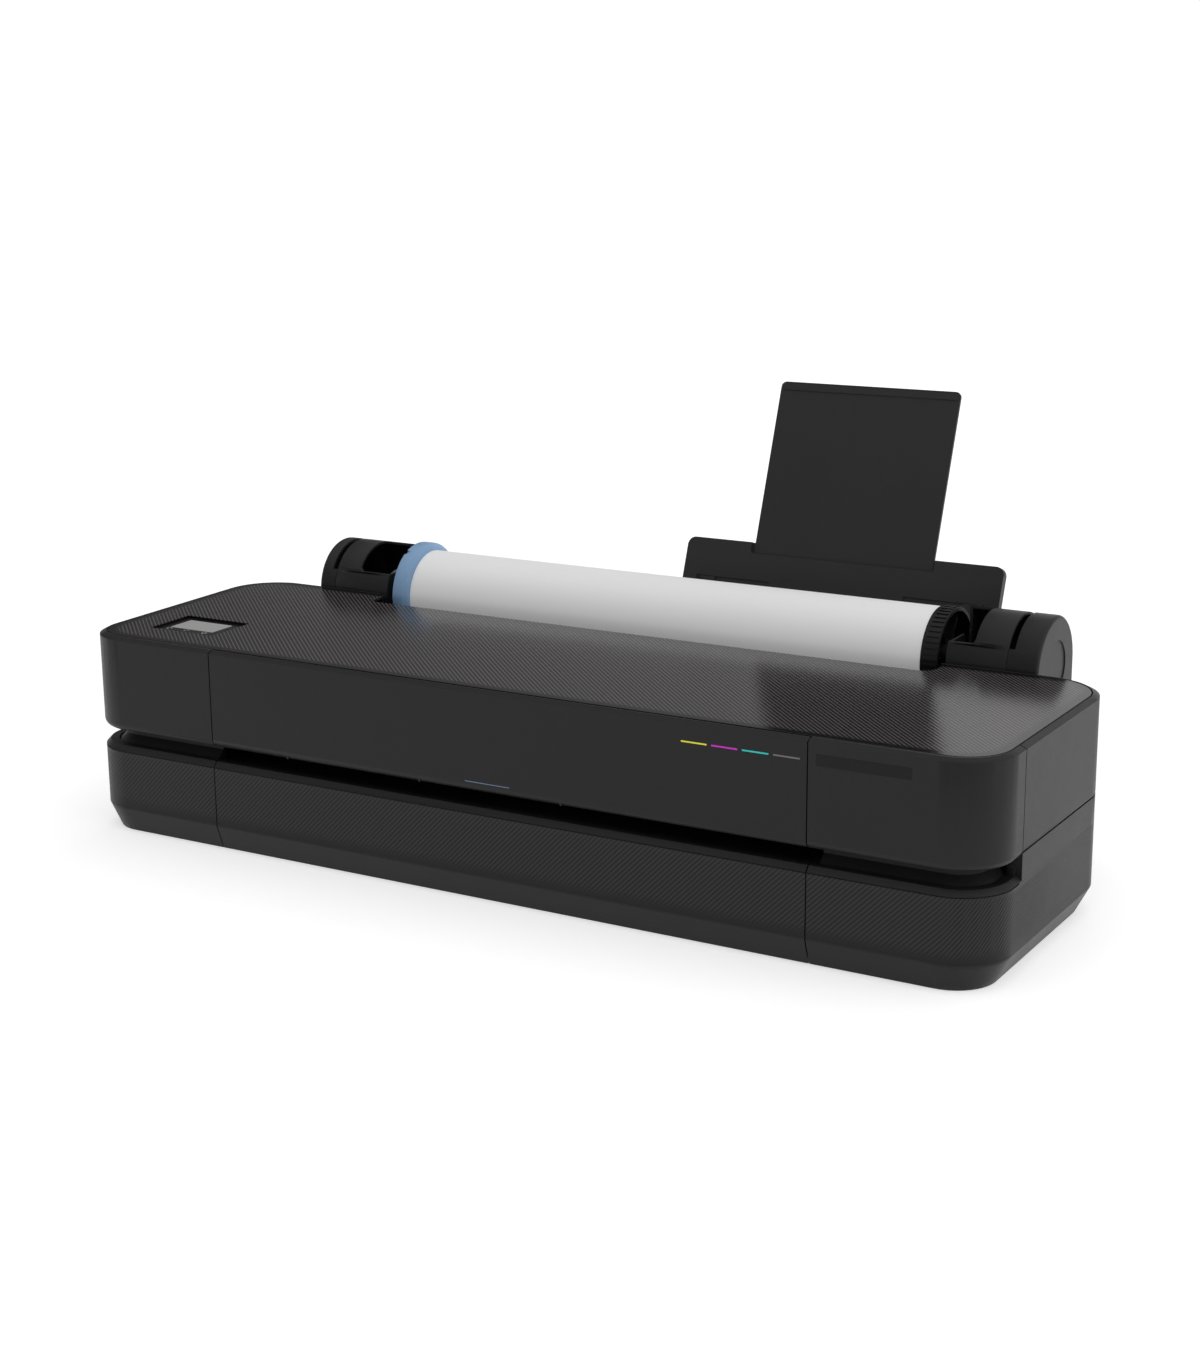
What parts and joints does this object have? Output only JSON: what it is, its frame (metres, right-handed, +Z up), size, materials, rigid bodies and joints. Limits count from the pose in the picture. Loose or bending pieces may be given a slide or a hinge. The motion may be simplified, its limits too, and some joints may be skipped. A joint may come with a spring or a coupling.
{
  "type": "large format plotter",
  "caption": "Wide desktop inkjet plotter with a hinged front door, a media roll on a geared spindle at the back, a tilted sheet tray with a sliding extension and a sliding print carriage.",
  "frame": {"origin": "on the table, under the middle of the whole object's bounding box with the sheet tray raised", "axes": "+X to the right as seen from the front, +Y to the back, +Z up"},
  "size_m": [1.015, 0.522, 0.4451],
  "materials": {
    "cover": "fine-grained matte moulding",
    "gloss": "glossy with fine hatching",
    "inner_plastic": "plain moulding",
    "screen": "touch panel",
    "blue_plastic": "satin",
    "black_plastic": "satin",
    "tray_plastic": "satin",
    "paper": "plain media",
    "core": "wound board",
    "steel": "ground",
    "sheet_metal": "zinc grey",
    "aluminium": "anodised",
    "rubber": "matte",
    "gear_plastic": "natural acetal",
    "film": "clear film",
    "circuit": "solder mask",
    "motor": "black"
  },
  "bodies": {
    "cabinet": {"lower_front_panel": "cover", "base_side_left": "cover", "base_side_right": "cover", "base_pan": "inner_plastic", "rubber_feet": "rubber", "output_deck": "inner_plastic", "upper_corner_left": "cover", "upper_corner_right": "cover", "upper_side_left": "cover", "upper_side_right": "cover", "upper_rear_cover": "cover", "top_cover": "gloss", "display_panel": "screen", "door_hinge_pins": "steel", "roll_trough": "inner_plastic", "spindle_housing_left": "cover", "spindle_housing_right": "cover", "housing_cap_left": "cover", "housing_cap_right": "cover", "rear_housing": "cover", "rear_guide_panel": "inner_plastic", "power_inlet": "inner_plastic", "main_board": "circuit", "power_supply": "sheet_metal", "case_screws": "steel", "sheet_tray": "tray_plastic", "spindle_motor": "motor", "side_plates": "sheet_metal", "chassis_beam": "sheet_metal", "encoder_strip": "film", "carriage_rod": "steel", "carriage_belt": "rubber", "belt_brackets": "sheet_metal", "carriage_motor": "motor", "service_station": "inner_plastic", "platen": "inner_plastic", "roller_brackets": "sheet_metal", "feed_belt": "rubber", "feed_motor": "motor", "cartridge_bay": "inner_plastic", "ink_cartridges": "black_plastic"},
    "door": {"front_door": "cover"},
    "spindle": {"spindle_shaft": "steel", "blue_stop": "blue_plastic", "black_stop": "black_plastic", "paper_core": "core", "paper_roll": "paper", "spindle_gear": "gear_plastic"},
    "spindle_drive": {"spindle_pinion": "gear_plastic"},
    "printhead_carriage": {"carriage": "black_plastic", "printhead": "steel"},
    "drive_pulley": {"carriage_drive_pulley": "aluminium"},
    "idler_pulley": {"carriage_idler_pulley": "aluminium"},
    "feed_shaft": {"feed_roller": "rubber"},
    "exit_shaft": {"exit_roller": "rubber"},
    "pinch_shaft": {"pinch_rollers": "rubber"},
    "extension": {"tray_extension": "tray_plastic"},
    "guide_left": {"sheet_guide_left": "tray_plastic"},
    "guide_right": {"sheet_guide_right": "tray_plastic"},
    "power_key": {"power_button": "black_plastic"}
  },
  "joints": [
    {"name": "front_door_hinge", "type": "hinge", "parent": "cabinet", "child": "door", "pos_m": [0, -0.2539, 0.2098], "axis": [-1, 0, 0], "range_deg": [0, 85]},
    {"name": "spindle_spin", "type": "hinge", "parent": "cabinet", "child": "spindle", "pos_m": [0, 0.1049, 0.205], "axis": [1, 0, 0], "continuous": true},
    {"name": "spindle_drive_spin", "type": "hinge", "parent": "cabinet", "child": "spindle_drive", "pos_m": [-0.352, 0.1049, 0.1769], "axis": [1, 0, 0], "continuous": true},
    {"name": "carriage_slide", "type": "slide", "parent": "cabinet", "child": "printhead_carriage", "axis": [-1, 0, 0], "range_m": [0, 0.725]},
    {"name": "drive_pulley_spin", "type": "hinge", "parent": "cabinet", "child": "drive_pulley", "pos_m": [0.452, -0.0361, 0.172], "axis": [0, 0, 1], "range_deg": [-4810, 0]},
    {"name": "idler_pulley_spin", "type": "hinge", "parent": "cabinet", "child": "idler_pulley", "pos_m": [-0.452, -0.0361, 0.172], "axis": [0, 0, 1], "range_deg": [-4810, 0]},
    {"name": "feed_roller_spin", "type": "hinge", "parent": "cabinet", "child": "feed_shaft", "pos_m": [0, -0.0441, 0.0965], "axis": [1, 0, 0], "continuous": true},
    {"name": "exit_roller_spin", "type": "hinge", "parent": "cabinet", "child": "exit_shaft", "pos_m": [0, -0.1781, 0.0965], "axis": [1, 0, 0], "continuous": true},
    {"name": "pinch_roller_spin", "type": "hinge", "parent": "cabinet", "child": "pinch_shaft", "pos_m": [0, -0.0441, 0.1094], "axis": [1, 0, 0], "continuous": true},
    {"name": "tray_extension_slide", "type": "slide", "parent": "cabinet", "child": "extension", "axis": [0, -0.3445, -0.9388], "range_m": [0, 0.172]},
    {"name": "left_guide_slide", "type": "slide", "parent": "cabinet", "child": "guide_left", "axis": [1, 0, 0], "range_m": [0, 0.058]},
    {"name": "right_guide_slide", "type": "slide", "parent": "cabinet", "child": "guide_right", "axis": [1, 0, 0], "range_m": [-0.058, 0]},
    {"name": "power_button_press", "type": "slide", "parent": "cabinet", "child": "power_key", "axis": [0, -1, 0], "range_m": [0, 0.002], "stiffness_N_per_m": 600, "springref_m": -0.001}
  ],
  "couplings": [
    {"joint": "spindle_drive_spin", "follows": "spindle_spin", "ratio": -2.5},
    {"joint": "drive_pulley_spin", "follows": "carriage_slide", "rad_per_m": -115.61},
    {"joint": "idler_pulley_spin", "follows": "carriage_slide", "rad_per_m": -115.61},
    {"joint": "exit_roller_spin", "follows": "feed_roller_spin", "ratio": 1},
    {"joint": "pinch_roller_spin", "follows": "feed_roller_spin", "ratio": -1.5},
    {"joint": "right_guide_slide", "follows": "left_guide_slide", "ratio": -1}
  ]
}
